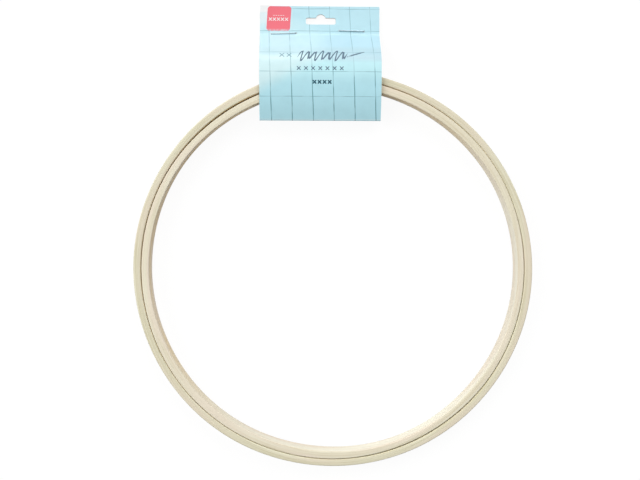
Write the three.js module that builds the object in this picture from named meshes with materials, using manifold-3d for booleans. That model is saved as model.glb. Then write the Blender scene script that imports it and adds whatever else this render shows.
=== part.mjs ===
// Embroidery hoop of bent wood, lying on its back in the folded card that it is sold in.
// Millimetres, +Z up. Z is the hoop's axis, and the brass closure and the card are at +Y.
// An inner ring sits in a split outer ring, whose two ends carry stamped brass ears.
// A knurled thumb screw runs through both ears into a square nut and draws the ends together.
// The card is folded inside the hoop, passes over and under both rings, and is stapled beyond them.

import * as THREE from 'three';
import { mergeVertices } from 'three/addons/utils/BufferGeometryUtils.js';
import Module from 'manifold-3d';

const wasm = await Module();
wasm.setup();

// Rings
const OUTER_RADIUS = 99.7; // mean radius over the outer strip, sold as a 200 mm hoop
const OUT_OF_ROUND = 0.5; // the hoop is this much wider across, and shorter towards the closure
const OUTER_STRIP = 3.5; // thickness of the outer strip, along the radius
const INNER_STRIP = 3.5; // thickness of the inner strip, along the radius
const RING_PLAY = 0.5; // room between the two strips
const RING_HEIGHT = 10;
const EDGE_ROUND = 0.55; // sanded long edges of both strips
const SPLIT_WIDTH = 8; // opening between the outer strip's ends
const RING_STEPS = 144;
const EDGE_STEPS = 2;

// Brass ears on the ends of the outer strip
const BRASS_SHEET = 0.8;
const SEAT_GAP = 0.3; // left between pieces that touch
const EAR_HEIGHT = 8.8;
const EAR_SETBACK = 0.4; // from the strip's end face to the ear
const EAR_BEND = 1.0; // radius of the bend, at the middle of the sheet
const STRAP_LENGTH = 17; // along the strip, behind the ear
const TACK_FIRST = 7.5; // from the ear to the first tack, along the strap
const TACK_PITCH = 5.6;
const TACKS_PER_EAR = 2;
const TACK_HEAD_RADIUS = 1.7;
const TACK_HEAD_RISE = 0.75;
const TACK_SHANK_RADIUS = 0.6;
const TACK_LENGTH = 3.6;
const TACK_HOLE_PLAY = 0.3; // all round a tack's shank

// Thumb screw, washer and nut
const SCREW_OFFSET = 6.4; // from the outer strip's face to the screw's axis
const SHANK_RADIUS = 1.9;
const SHANK_TIP = 17.6; // from the middle of the split to the free end
const THREAD_PLAY = 0.25; // between the shank and the nut's bore
const CLEARANCE_PLAY = 0.4; // between the shank and the holes that it slides in
const HEAD_RADIUS = 4.3;
const HEAD_LENGTH = 8;
const HEAD_CHAMFER = 0.5;
const HEAD_COLLAR_RADIUS = 3.3;
const HEAD_COLLAR = 0.9;
const KNURL_RIDGES = 40;
const KNURL_DEPTH = 0.28;
const SLOT_WIDTH = 1.2;
const SLOT_DEPTH = 1.6;
const WASHER_RADIUS = 4.0;
const WASHER_THICKNESS = 0.6;
const NUT_ACROSS = 7;
const NUT_THICKNESS = 3.2;
const NUT_CHAMFER = 0.6;
const ROUND_STEPS = 32;

// Card
const CARD_WIDTH = 60.8;
const CARD_SHIFT = -6.9; // from the hoop's middle to the card's, along X
const CARD_SHEET = 0.4;
const CARD_PLAY = 0.2; // between the card's back and the rings that lie on it
const FOLD_REACH = 16.6; // from the inner ring's inner face to the fold
const FOLD_RISE = 2.4; // from the rings' middle height up to the fold
const CREASE_GAP = 0.7; // between the two panels' middles at the fold
const KNEE_CLEARANCE = 0.55; // from the inner ring's edges to the panels
const CROWN_LIFT = 2.45; // how far the front panel arches over the rings
const SHOULDER_DROP = 0.3; // from the arch to the shoulder, straight above the screw
const FOOT_REACH = 13.5; // from the screw's axis to the foot of the front panel
const BACK_RISE_RUN = 5; // over which the back panel lifts to its flap
const BACK_FLAP_LIFT = 0.9; // leaves room for the clinched staples
const FLAP_GAP = 0.4; // between the two flaps
const FLAP_LENGTH = 14.3; // from the foot to the card's top edge
const KNEE_SHARE = 0.62; // how much of the shorter run beside it each soft bend takes up
const CROWN_SHARE = 0.48;
const SHOULDER_SHARE = 0.36;
const FOOT_BEND = 2.4; // radii of the sharper bends, at the middle of the sheet
const BACK_BEND = 3;

// Hang hole, cut through both flaps
const SLOT_LENGTH = 15.2;
const SLOT_HEIGHT = 3.4;
const SLOT_ROUND = 1; // radius of the slot's corners
const SLOT_SIDESTEP = 0.5; // from the card's middle to the slot's, along X
const SLOT_BELOW_TOP = 7.5; // from the card's top edge to the slot's middle
const HUMP_RADIUS = 2.6;
const HUMP_RISE = 0.9; // from the slot's middle to the hump's

// Staples
const WIRE = 0.5;
const STAPLE_CROWN = 13;
const STAPLE_INSET = [12, 46.6]; // from the card's left edge to each staple's middle
const STAPLE_FROM_FOOT = 1.1;
const STAPLE_BEND = 0.45;
const CLINCH_LENGTH = 4.6;
const WIRE_PLAY = 0.25; // between a staple and the card

// Materials
const MATERIALS = {
  outerWood: new THREE.MeshStandardMaterial({ color: 0xdcd5b8, roughness: 0.62, metalness: 0 }),
  innerWood: new THREE.MeshStandardMaterial({ color: 0xe4dac2, roughness: 0.62, metalness: 0 }),
  brass: new THREE.MeshStandardMaterial({ color: 0xc8a355, roughness: 0.32, metalness: 1 }),
  card: new THREE.MeshStandardMaterial({ color: 0xb9e2ea, roughness: 0.45, metalness: 0 }),
  wire: new THREE.MeshStandardMaterial({ color: 0x9aa3a6, roughness: 0.35, metalness: 1 }),
};

// Places that follow from the sizes above
const ringBottom = CARD_SHEET + CARD_PLAY;
const ringTop = ringBottom + RING_HEIGHT;
const ringMiddle = ringBottom + RING_HEIGHT / 2;
const innerOuterRadius = OUTER_RADIUS - OUTER_STRIP - RING_PLAY;
const innerInnerRadius = innerOuterRadius - INNER_STRIP;
const closureRadius = OUTER_RADIUS - OUT_OF_ROUND;
const screwY = closureRadius + SCREW_OFFSET;
const earX = SPLIT_WIDTH / 2 + EAR_SETBACK + BRASS_SHEET / 2;
const strapRadius = OUTER_RADIUS + SEAT_GAP + BRASS_SHEET / 2;
const washerX = earX + BRASS_SHEET / 2 + SEAT_GAP;
const headX = washerX + WASHER_THICKNESS + SEAT_GAP;
const nutX = earX + BRASS_SHEET / 2 + SEAT_GAP;
const cardReach = CARD_WIDTH / 2 + Math.abs(CARD_SHIFT);
const foldY = innerInnerRadius - OUT_OF_ROUND - FOLD_REACH;
const foldZ = ringMiddle + FOLD_RISE;
const kneeY = Math.sqrt(innerInnerRadius ** 2 - cardReach ** 2) - OUT_OF_ROUND;
const footY = screwY + FOOT_REACH;
const cardTopY = footY + FLAP_LENGTH;
const backFlapZ = BACK_FLAP_LIFT + CARD_SHEET / 2;
const frontFlapZ = backFlapZ + CARD_SHEET + FLAP_GAP;
const hangHoleY = cardTopY - SLOT_BELOW_TOP;
const stapleY = footY + STAPLE_FROM_FOOT;

// Solids
function volumeOf(position, index) {
  const corners = [new THREE.Vector3(), new THREE.Vector3(), new THREE.Vector3()];
  let volume = 0;
  for (let i = 0; i < index.length; i += 3) {
    corners.forEach((corner, k) => corner.fromBufferAttribute(position, index[i + k]));
    volume += corners[0].dot(corners[1].cross(corners[2])) / 6;
  }
  return volume;
}

function solidOf(geometry) {
  const bare = new THREE.BufferGeometry();
  bare.setAttribute('position', geometry.getAttribute('position'));
  bare.setIndex(geometry.index);
  const merged = mergeVertices(bare);
  const index = [];
  const all = merged.index.array;
  for (let i = 0; i < all.length; i += 3) {
    const [a, b, c] = [all[i], all[i + 1], all[i + 2]];
    if (a !== b && b !== c && c !== a) index.push(a, b, c);
  }
  if (volumeOf(merged.getAttribute('position'), index) < 0) index.reverse();
  return new wasm.Manifold(new wasm.Mesh({
    numProp: 3,
    vertProperties: new Float32Array(merged.getAttribute('position').array),
    triVerts: new Uint32Array(index),
  }));
}

function geometryOf(solid) {
  const { vertProperties, triVerts } = solid.getMesh();
  const geometry = new THREE.BufferGeometry();
  geometry.setAttribute('position', new THREE.BufferAttribute(vertProperties, 3));
  geometry.setIndex(new THREE.BufferAttribute(triVerts, 1));
  geometry.computeVertexNormals();
  return geometry;
}

// A turned solid about Z from [radius, height] points that close on themselves or start on the axis.
function turned(profile, steps = ROUND_STEPS) {
  const points = profile.map(([radius, height]) => new THREE.Vector2(radius, height));
  return new THREE.LatheGeometry(points, steps).rotateX(Math.PI / 2);
}

function rod(radius, from, to, steps = ROUND_STEPS) {
  return turned([[0, from], [radius, from], [radius, to], [0, to]], steps);
}

function block(width, depth, height, x, y, z) {
  return new THREE.BoxGeometry(width, depth, height).translate(x, y, z);
}

// Extrusions of a flat outline along each axis, starting at a place on that axis
function alongX(shape, from, length) {
  const geometry = new THREE.ExtrudeGeometry(shape, { depth: length, bevelEnabled: false });
  const turn = new THREE.Matrix4().makeBasis(
    new THREE.Vector3(0, 1, 0), new THREE.Vector3(0, 0, 1), new THREE.Vector3(1, 0, 0));
  return geometry.applyMatrix4(turn).translate(from, 0, 0);
}

function alongY(shape, from, length) {
  const geometry = new THREE.ExtrudeGeometry(shape, { depth: length, bevelEnabled: false });
  return geometry.rotateX(Math.PI / 2).translate(0, from + length, 0);
}

function alongZ(shape, from, length) {
  const geometry = new THREE.ExtrudeGeometry(shape, { depth: length, bevelEnabled: false });
  return geometry.translate(0, 0, from);
}

// Bent sheet and wire
const BEND_STEP = THREE.MathUtils.degToRad(12);
const BEND_RUN = 2; // longest straight piece of an arc

// The corners joined by straight runs, with an arc in place of each inner corner.
// One radius does for all corners, or each has its own.
function bentPath(corners, ...radii) {
  const path = [corners[0].clone()];
  for (let i = 1; i < corners.length - 1; i += 1) {
    const radius = radii[i - 1] ?? radii[0];
    const into = corners[i].clone().sub(corners[i - 1]).normalize();
    const out = corners[i + 1].clone().sub(corners[i]).normalize();
    const turn = Math.atan2(into.cross(out), into.dot(out));
    const start = corners[i].clone().addScaledVector(into, -radius * Math.tan(Math.abs(turn) / 2));
    const towards = new THREE.Vector2(-into.y, into.x).multiplyScalar(radius * Math.sign(turn));
    const centre = start.clone().add(towards);
    const steps = Math.ceil(Math.abs(turn) / Math.min(BEND_STEP, BEND_RUN / radius));
    for (let k = 0; k <= steps; k += 1) path.push(start.clone().rotateAround(centre, turn * k / steps));
  }
  path.push(corners.at(-1).clone());
  return path;
}

// The radius of a soft bend that takes up a share of the shorter of the two runs that meet in it
function softBend(share, before, corner, after) {
  const into = corner.clone().sub(before);
  const out = after.clone().sub(corner);
  const turn = Math.abs(Math.atan2(into.cross(out), into.dot(out)));
  return share * Math.min(into.length(), out.length()) / Math.tan(turn / 2);
}

// The outline of a sheet whose middle follows the path.
function sheetOutline(path, thickness) {
  const last = path.length - 1;
  const direction = (i) => path[i + 1].clone().sub(path[i]).normalize();
  const side = (sign) => path.map((point, i) => {
    const out = direction(Math.min(i, last - 1));
    const along = direction(Math.max(i - 1, 0)).add(out).normalize();
    const normal = new THREE.Vector2(-along.y, along.x);
    return point.clone().addScaledVector(normal, sign * thickness / 2 / along.dot(out));
  });
  return new THREE.Shape([...side(1), ...side(-1).reverse()]);
}

// A bar centred on a point of its plane, with round ends or with corners of a smaller radius
function stadium(length, height, u, v, round = height / 2) {
  const end = length / 2 - round;
  const side = height / 2 - round;
  const outline = new THREE.Shape();
  outline.absarc(u + end, v - side, round, -Math.PI / 2, 0, false);
  outline.absarc(u + end, v + side, round, 0, Math.PI / 2, false);
  outline.absarc(u - end, v + side, round, Math.PI / 2, Math.PI, false);
  outline.absarc(u - end, v - side, round, Math.PI, 3 * Math.PI / 2, false);
  return outline;
}

// Rings
function roundedBar(innerRadius, outerRadius, bottom, top, round) {
  const corners = [
    [outerRadius - round, bottom + round, -90],
    [outerRadius - round, top - round, 0],
    [innerRadius + round, top - round, 90],
    [innerRadius + round, bottom + round, 180],
  ];
  const profile = corners.flatMap(([radius, height, from]) => {
    const arc = [];
    for (let k = 0; k <= EDGE_STEPS; k += 1) {
      const angle = THREE.MathUtils.degToRad(from + 90 * k / EDGE_STEPS);
      arc.push([radius + round * Math.cos(angle), height + round * Math.sin(angle)]);
    }
    return arc;
  });
  return [...profile, profile[0]];
}

// Bent wood springs out of round: every radius grows across the hoop and shrinks along it.
function hoopRadius(radius, angle) {
  return radius + OUT_OF_ROUND * Math.cos(2 * angle);
}

function springOutOfRound(geometry) {
  const position = geometry.getAttribute('position');
  for (let i = 0; i < position.count; i += 1) {
    const [x, y] = [position.getX(i), position.getY(i)];
    const stretch = hoopRadius(Math.hypot(x, y), Math.atan2(y, x)) / Math.hypot(x, y);
    position.setXY(i, x * stretch, y * stretch);
  }
  return geometry;
}

function bentRing(innerRadius, outerRadius) {
  const profile = roundedBar(innerRadius, outerRadius, ringBottom, ringTop, EDGE_ROUND);
  return springOutOfRound(turned(profile, RING_STEPS));
}

// Angles along the strap, measured from the closure and positive towards +X
function strapAngle(alongStrap) {
  return (earX + alongStrap) / strapRadius;
}

function tackAngles(side) {
  return Array.from({ length: TACKS_PER_EAR }, (_, i) => side * strapAngle(TACK_FIRST + i * TACK_PITCH));
}

// A tack's own axis is Z, out of the wood, with 0 on the outer face of the strap.
function placeTack(object, fromClosure) {
  const angle = Math.PI / 2 - fromClosure;
  const seat = hoopRadius(strapRadius + BRASS_SHEET / 2, angle);
  object.position.set(seat * Math.cos(angle), seat * Math.sin(angle), ringMiddle);
  object.rotation.set(0, Math.PI / 2, angle, 'ZYX');
  object.updateMatrix();
}

function tackHole(fromClosure) {
  const place = new THREE.Object3D();
  placeTack(place, fromClosure);
  const hole = rod(TACK_SHANK_RADIUS + TACK_HOLE_PLAY, -TACK_LENGTH - TACK_HOLE_PLAY, 2, 16);
  return solidOf(hole.applyMatrix4(place.matrix));
}

function outerRing() {
  let ring = solidOf(bentRing(OUTER_RADIUS - OUTER_STRIP, OUTER_RADIUS));
  const depth = 2 * (OUTER_STRIP + OUT_OF_ROUND);
  ring = ring.subtract(solidOf(block(SPLIT_WIDTH, 2 * depth, 2 * RING_HEIGHT, 0, closureRadius, ringMiddle)));
  for (const side of [-1, 1]) {
    for (const angle of tackAngles(side)) ring = ring.subtract(tackHole(angle));
  }
  return geometryOf(ring);
}

function innerRing() {
  return geometryOf(solidOf(bentRing(innerInnerRadius, innerOuterRadius)));
}

// Brass ears: one strip of sheet with round ends, one about the screw, bent square into a strap.
function earPlan(side) {
  const corners = [new THREE.Vector2(side * earX, screwY + EAR_HEIGHT)];
  const steps = 8;
  for (let k = 0; k <= steps; k += 1) {
    const angle = Math.PI / 2 - side * strapAngle((STRAP_LENGTH + BRASS_SHEET) * k / steps);
    const radius = hoopRadius(strapRadius, angle);
    corners.push(new THREE.Vector2(radius * Math.cos(angle), radius * Math.sin(angle)));
  }
  const [top, corner, next, ...rest] = corners;
  return sheetOutline([...bentPath([top, corner, next], EAR_BEND), ...rest], BRASS_SHEET);
}

function ear(side) {
  const reach = earX + STRAP_LENGTH + EAR_HEIGHT;
  const strapEndX = strapRadius * Math.sin(strapAngle(STRAP_LENGTH));
  const earEnd = stadium(2 * screwY + EAR_HEIGHT, EAR_HEIGHT, 0, ringMiddle);
  const strapEnd = stadium(2 * strapEndX, EAR_HEIGHT, 0, ringMiddle);
  let brass = solidOf(alongZ(earPlan(side), ringBottom, RING_HEIGHT));
  brass = brass.intersect(solidOf(alongX(earEnd, -reach, 2 * reach)));
  brass = brass.intersect(solidOf(alongY(strapEnd, 0, 2 * screwY)));
  const hole = rod(SHANK_RADIUS + CLEARANCE_PLAY, 0, reach, 24).rotateY(side * Math.PI / 2);
  brass = brass.subtract(solidOf(hole.translate(0, screwY, ringMiddle)));
  for (const angle of tackAngles(side)) brass = brass.subtract(tackHole(angle));
  return geometryOf(brass);
}

function tack() {
  const head = Array.from({ length: 5 }, (_, k) => {
    const angle = k * Math.PI / 8;
    return [TACK_HEAD_RADIUS * Math.cos(angle), SEAT_GAP + TACK_HEAD_RISE * Math.sin(angle)];
  });
  return geometryOf(solidOf(turned([
    [0, -TACK_LENGTH],
    [TACK_SHANK_RADIUS, -TACK_LENGTH + TACK_SHANK_RADIUS],
    [TACK_SHANK_RADIUS, SEAT_GAP],
    ...head,
  ], 16)));
}

// Thumb screw: its axis is Z, with 0 under the head and the shank towards -Z.
function knurlOutline() {
  const points = [];
  for (let i = 0; i < 2 * KNURL_RIDGES; i += 1) {
    const angle = i * Math.PI / KNURL_RIDGES;
    const radius = HEAD_RADIUS - (i % 2) * KNURL_DEPTH;
    points.push(new THREE.Vector2(radius * Math.cos(angle), radius * Math.sin(angle)));
  }
  return new THREE.Shape(points);
}

function thumbScrew() {
  const shank = headX + SHANK_TIP;
  const drum = turned([
    [0, HEAD_COLLAR],
    [HEAD_RADIUS - HEAD_CHAMFER, HEAD_COLLAR],
    [HEAD_RADIUS, HEAD_COLLAR + HEAD_CHAMFER],
    [HEAD_RADIUS, HEAD_LENGTH - HEAD_CHAMFER],
    [HEAD_RADIUS - HEAD_CHAMFER, HEAD_LENGTH],
    [0, HEAD_LENGTH],
  ], KNURL_RIDGES * 2);
  const body = turned([
    [0, -shank],
    [SHANK_RADIUS - HEAD_CHAMFER, -shank],
    [SHANK_RADIUS, -shank + HEAD_CHAMFER],
    [SHANK_RADIUS, 0],
    [HEAD_COLLAR_RADIUS, 0],
    [HEAD_COLLAR_RADIUS, HEAD_COLLAR + HEAD_CHAMFER],
    [0, HEAD_COLLAR + HEAD_CHAMFER],
  ]);
  const knurled = solidOf(alongZ(knurlOutline(), 0, HEAD_LENGTH)).intersect(solidOf(drum));
  const slot = block(SLOT_WIDTH, 3 * HEAD_RADIUS, 2 * SLOT_DEPTH, 0, 0, HEAD_LENGTH);
  return geometryOf(knurled.add(solidOf(body)).subtract(solidOf(slot)));
}

function washer() {
  const bore = SHANK_RADIUS + CLEARANCE_PLAY;
  const profile = [[bore, 0], [WASHER_RADIUS, 0], [WASHER_RADIUS, WASHER_THICKNESS], [bore, WASHER_THICKNESS]];
  return geometryOf(solidOf(turned([...profile, profile[0]])));
}

function squareNut() {
  const corner = NUT_ACROSS / Math.SQRT2;
  const flat = NUT_ACROSS / 2;
  const rim = turned([
    [0, 0],
    [corner - NUT_CHAMFER / 2, 0],
    [corner - NUT_CHAMFER / 2, NUT_THICKNESS - NUT_CHAMFER],
    [flat, NUT_THICKNESS],
    [0, NUT_THICKNESS],
  ]);
  const body = solidOf(block(NUT_ACROSS, NUT_ACROSS, NUT_THICKNESS, 0, 0, NUT_THICKNESS / 2));
  const bore = rod(SHANK_RADIUS + THREAD_PLAY, -1, NUT_THICKNESS + 1);
  return geometryOf(body.intersect(solidOf(rim)).subtract(solidOf(bore)));
}

// Card: each panel is one bent sheet, cut through by the hang hole and the staples' legs.
function frontPanelPath() {
  const arch = ringTop + CROWN_LIFT;
  const corners = [
    [foldY, foldZ + CREASE_GAP / 2],
    [kneeY, ringTop + KNEE_CLEARANCE + CARD_SHEET / 2],
    [closureRadius - OUTER_STRIP / 2, arch],
    [screwY, arch - SHOULDER_DROP],
    [footY, frontFlapZ],
    [cardTopY, frontFlapZ],
  ].map(([y, z]) => new THREE.Vector2(y, z));
  const shares = [KNEE_SHARE, CROWN_SHARE, SHOULDER_SHARE];
  const radii = shares.map((share, i) => softBend(share, ...corners.slice(i, i + 3)));
  return bentPath(corners, ...radii, FOOT_BEND);
}

function backPanelPath() {
  const corners = [
    [foldY, foldZ - CREASE_GAP / 2],
    [kneeY - KNEE_CLEARANCE, CARD_SHEET / 2],
    [footY - BACK_RISE_RUN, CARD_SHEET / 2],
    [footY, backFlapZ],
    [cardTopY, backFlapZ],
  ].map(([y, z]) => new THREE.Vector2(y, z));
  return bentPath(corners, BACK_BEND);
}

function hangHole() {
  const middle = CARD_SHIFT + SLOT_SIDESTEP;
  const slot = stadium(SLOT_LENGTH, SLOT_HEIGHT, middle, hangHoleY, SLOT_ROUND);
  const hump = rod(HUMP_RADIUS, -1, ringTop, 24).translate(middle, hangHoleY + HUMP_RISE, 0);
  return solidOf(alongZ(slot, -1, ringTop + 1)).add(solidOf(hump));
}

function stapleMiddles() {
  return STAPLE_INSET.map((inset) => CARD_SHIFT - CARD_WIDTH / 2 + inset);
}

function legHoles() {
  const size = WIRE + 2 * WIRE_PLAY;
  return stapleMiddles().flatMap((middle) => [-1, 1].map((side) => {
    const x = middle + side * (STAPLE_CROWN - WIRE) / 2;
    return solidOf(block(size, size, 2 * RING_HEIGHT, x, stapleY, 0));
  }));
}

function cardPanel(path) {
  const sheet = alongX(sheetOutline(path, CARD_SHEET), CARD_SHIFT - CARD_WIDTH / 2, CARD_WIDTH);
  let panel = solidOf(sheet).subtract(hangHole());
  for (const hole of legHoles()) panel = panel.subtract(hole);
  return geometryOf(panel);
}

// A staple: crown over the front flap, legs through both, and clinched in under the back flap.
function staple(middle) {
  const crownZ = frontFlapZ + CARD_SHEET / 2 + WIRE_PLAY + WIRE / 2;
  const clinchZ = backFlapZ - CARD_SHEET / 2 - WIRE_PLAY / 2 - WIRE / 2;
  const legX = (STAPLE_CROWN - WIRE) / 2;
  const corners = [
    [legX - CLINCH_LENGTH, clinchZ],
    [legX, clinchZ],
    [legX, crownZ],
    [-legX, crownZ],
    [-legX, clinchZ],
    [-legX + CLINCH_LENGTH, clinchZ],
  ].map(([x, z]) => new THREE.Vector2(x, z));
  const wire = alongY(sheetOutline(bentPath(corners, STAPLE_BEND), WIRE), stapleY - WIRE / 2, WIRE);
  return wire.translate(middle, 0, 0);
}

// Assembly
function piece(name, geometry, material) {
  const mesh = new THREE.Mesh(geometry, material.clone());
  mesh.name = name;
  return mesh;
}

// The origin is under the middle of the whole object's box.
const object = new THREE.Group();
const hoop = new THREE.Group();
hoop.position.set(0, (closureRadius - cardTopY) / 2, 0);
object.add(hoop);

hoop.add(piece('outer_ring', outerRing(), MATERIALS.outerWood));
hoop.add(piece('inner_ring', innerRing(), MATERIALS.innerWood));

for (const [end, side] of [['left', -1], ['right', 1]]) {
  hoop.add(piece(`ear_${end}`, ear(side), MATERIALS.brass));
  tackAngles(side).forEach((angle, i) => {
    const mesh = piece(`tack_${end}_${i + 1}`, tack(), MATERIALS.brass);
    placeTack(mesh, angle);
    hoop.add(mesh);
  });
}

// The closure's own frame has its origin on the screw's axis, in the middle of the split.
const closure = new THREE.Group();
closure.position.set(0, screwY, ringMiddle);
hoop.add(closure);

const screw = piece('thumb_screw', thumbScrew(), MATERIALS.brass);
screw.rotation.y = -Math.PI / 2;
screw.position.x = -headX;
const screwWasher = piece('washer', washer(), MATERIALS.brass);
screwWasher.rotation.y = -Math.PI / 2;
screwWasher.position.x = -washerX;
const nut = piece('square_nut', squareNut(), MATERIALS.brass);
nut.rotation.y = Math.PI / 2;
nut.position.x = nutX;
closure.add(screw, screwWasher, nut);

hoop.add(piece('card_front', cardPanel(frontPanelPath()), MATERIALS.card));
hoop.add(piece('card_back', cardPanel(backPanelPath()), MATERIALS.card));
stapleMiddles().forEach((middle, i) => {
  hoop.add(piece(`staple_${['left', 'right'][i]}`, staple(middle), MATERIALS.wire));
});

export default object;
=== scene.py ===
import math

import bmesh
import bpy
from mathutils import Matrix, Vector
from mathutils.bvhtree import BVHTree


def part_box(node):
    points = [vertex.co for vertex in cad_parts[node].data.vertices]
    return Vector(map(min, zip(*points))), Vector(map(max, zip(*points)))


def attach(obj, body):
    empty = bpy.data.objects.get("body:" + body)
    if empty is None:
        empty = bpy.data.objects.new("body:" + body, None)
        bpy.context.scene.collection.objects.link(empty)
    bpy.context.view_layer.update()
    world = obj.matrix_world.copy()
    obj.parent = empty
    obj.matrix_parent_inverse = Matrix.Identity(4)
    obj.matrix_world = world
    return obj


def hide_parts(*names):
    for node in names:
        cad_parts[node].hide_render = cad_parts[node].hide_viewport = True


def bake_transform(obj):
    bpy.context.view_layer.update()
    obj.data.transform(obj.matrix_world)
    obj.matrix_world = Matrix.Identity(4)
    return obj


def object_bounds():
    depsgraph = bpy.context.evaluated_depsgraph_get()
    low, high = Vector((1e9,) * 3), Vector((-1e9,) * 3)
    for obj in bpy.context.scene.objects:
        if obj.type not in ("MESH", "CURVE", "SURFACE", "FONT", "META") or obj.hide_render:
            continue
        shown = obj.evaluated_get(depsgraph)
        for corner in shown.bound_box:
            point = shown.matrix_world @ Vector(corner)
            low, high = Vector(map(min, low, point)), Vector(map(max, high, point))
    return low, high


# An embroidery hoop of bent wood in its folded hanging card, lying on a pale table.
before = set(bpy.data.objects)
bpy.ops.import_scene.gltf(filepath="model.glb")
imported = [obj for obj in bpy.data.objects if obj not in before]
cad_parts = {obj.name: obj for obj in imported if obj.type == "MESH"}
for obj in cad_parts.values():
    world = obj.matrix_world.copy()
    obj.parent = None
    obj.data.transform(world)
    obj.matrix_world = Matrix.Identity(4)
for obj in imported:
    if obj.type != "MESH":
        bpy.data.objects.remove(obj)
cadLow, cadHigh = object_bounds()
scene = bpy.context.scene
scene.view_settings.view_transform = "Standard"
mm = 0.001


# Places that the frame gives
def ringOf(node, centre):
    reach = [(v.co.xy - centre).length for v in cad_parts[node].data.vertices]
    low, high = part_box(node)
    acrossRadius = high.x - centre.x
    alongRadius = centre.y - low.y
    outOfRound = (acrossRadius - alongRadius) / 2
    return {
        "outer": (acrossRadius + alongRadius) / 2,
        "inner": min(reach) + outOfRound,
        "outOfRound": outOfRound,
        "bottom": low.z,
        "top": high.z,
    }


innerLow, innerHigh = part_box("inner_ring")
ringCentre = ((innerLow + innerHigh) / 2).xy
outerRing = ringOf("outer_ring", ringCentre)
innerRing = ringOf("inner_ring", ringCentre)
ringTop = outerRing["top"]
ringMiddle = (outerRing["top"] + outerRing["bottom"]) / 2

camera = {
    "standsOver": (-0.0211, 0.0039),  # the point straight below the lens
    "looksAt": (-0.0071, -0.0024),
    "height": 0.400,  # above the rings' front edges
    "lens": 45.0,
    "sensor": 36,
}


def makeCamera():
    eye = Vector((*camera["standsOver"], ringTop + camera["height"]))
    backwards = (eye - Vector((*camera["looksAt"], ringTop))).normalized()
    rightwards = Vector((0, 1, 0)).cross(backwards).normalized()
    upwards = backwards.cross(rightwards)
    lens = bpy.data.cameras.new("camera")
    lens.lens = camera["lens"]
    lens.sensor_width = camera["sensor"]
    holder = bpy.data.objects.new("camera", lens)
    turn = Matrix((rightwards, upwards, backwards)).transposed()
    holder.matrix_world = Matrix.Translation(eye) @ turn.to_4x4()
    scene.collection.objects.link(holder)
    scene.camera = holder


makeCamera()
print("camera placed")


# Node helpers
def paint(red, green, blue):
    shares = [channel / 255 for channel in (red, green, blue)]
    return (*[c / 12.92 if c <= 0.04045 else ((c + 0.055) / 1.055) ** 2.4 for c in shares], 1)


def newMaterial(name, roughness=0.5, metallic=0.0, specular=0.5):
    material = bpy.data.materials.new(name)
    material.use_nodes = True
    tree = material.node_tree
    tree.nodes.clear()
    shader = tree.nodes.new("ShaderNodeBsdfPrincipled")
    shader.inputs["Roughness"].default_value = roughness
    shader.inputs["Metallic"].default_value = metallic
    shader.inputs["Specular IOR Level"].default_value = specular
    output = tree.nodes.new("ShaderNodeOutputMaterial")
    tree.links.new(shader.outputs["BSDF"], output.inputs["Surface"])
    return material, tree, shader


def feed(tree, socket, value):
    if isinstance(value, bpy.types.NodeSocket):
        tree.links.new(value, socket)
    else:
        socket.default_value = value


def calc(tree, operation, *values, clamp=False):
    node = tree.nodes.new("ShaderNodeMath")
    node.operation = operation
    node.use_clamp = clamp
    for socket, value in zip(node.inputs, values):
        feed(tree, socket, value)
    return node.outputs[0]


def vectorCalc(tree, operation, *values):
    node = tree.nodes.new("ShaderNodeVectorMath")
    node.operation = operation
    for socket, value in zip(node.inputs, values):
        feed(tree, socket, value)
    return node.outputs["Value" if operation == "LENGTH" else "Vector"]


def split(tree, vector):
    node = tree.nodes.new("ShaderNodeSeparateXYZ")
    feed(tree, node.inputs[0], vector)
    return node.outputs


def join(tree, x, y, z):
    node = tree.nodes.new("ShaderNodeCombineXYZ")
    for socket, value in zip(node.inputs, (x, y, z)):
        feed(tree, socket, value)
    return node.outputs[0]


def objectPlace(tree, centre=(0, 0, 0)):
    source = tree.nodes.new("ShaderNodeTexCoord").outputs["Object"]
    return vectorCalc(tree, "SUBTRACT", source, centre)


def noise(tree, vector, scale=1.0, detail=2.0, roughness=0.5, w=None):
    node = tree.nodes.new("ShaderNodeTexNoise")
    node.noise_dimensions = "3D" if w is None else "4D"
    feed(tree, node.inputs["Vector"], vector)
    if w is not None:
        feed(tree, node.inputs["W"], w)
    node.inputs["Scale"].default_value = scale
    node.inputs["Detail"].default_value = detail
    node.inputs["Roughness"].default_value = roughness
    return node.outputs["Fac"]


# Eases one span of a value into another. Settings named Ink or Span hold such spans.
def span(tree, value, fromLow, fromHigh, toLow=0.0, toHigh=1.0):
    node = tree.nodes.new("ShaderNodeMapRange")
    node.interpolation_type = "SMOOTHSTEP"
    for socket, setting in zip(node.inputs, (value, fromLow, fromHigh, toLow, toHigh)):
        feed(tree, socket, setting)
    return node.outputs[0]


# A mask of where a value is under a limit, with a soft edge
def under(tree, value, limit, soft=0.05):
    return span(tree, value, limit + soft, limit - soft)


def near(tree, value, middle, halfWidth):
    return under(tree, calc(tree, "ABSOLUTE", calc(tree, "SUBTRACT", value, middle)), halfWidth)


# Where all the masks are
def both(tree, *masks):
    result = masks[0]
    for mask in masks[1:]:
        result = calc(tree, "MULTIPLY", result, mask)
    return result


# Where any of the masks is
def either(tree, *masks):
    result = masks[0]
    for mask in masks[1:]:
        result = calc(tree, "MAXIMUM", result, mask)
    return result


def mixColour(tree, factor, first, second):
    node = tree.nodes.new("ShaderNodeMix")
    node.data_type = "RGBA"
    feed(tree, node.inputs[0], factor)
    feed(tree, node.inputs[6], first)
    feed(tree, node.inputs[7], second)
    return node.outputs[2]


def bump(tree, shader, height, distance):
    node = tree.nodes.new("ShaderNodeBump")
    node.inputs["Distance"].default_value = distance
    feed(tree, node.inputs["Height"], height)
    tree.links.new(node.outputs["Normal"], shader.inputs["Normal"])


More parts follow.
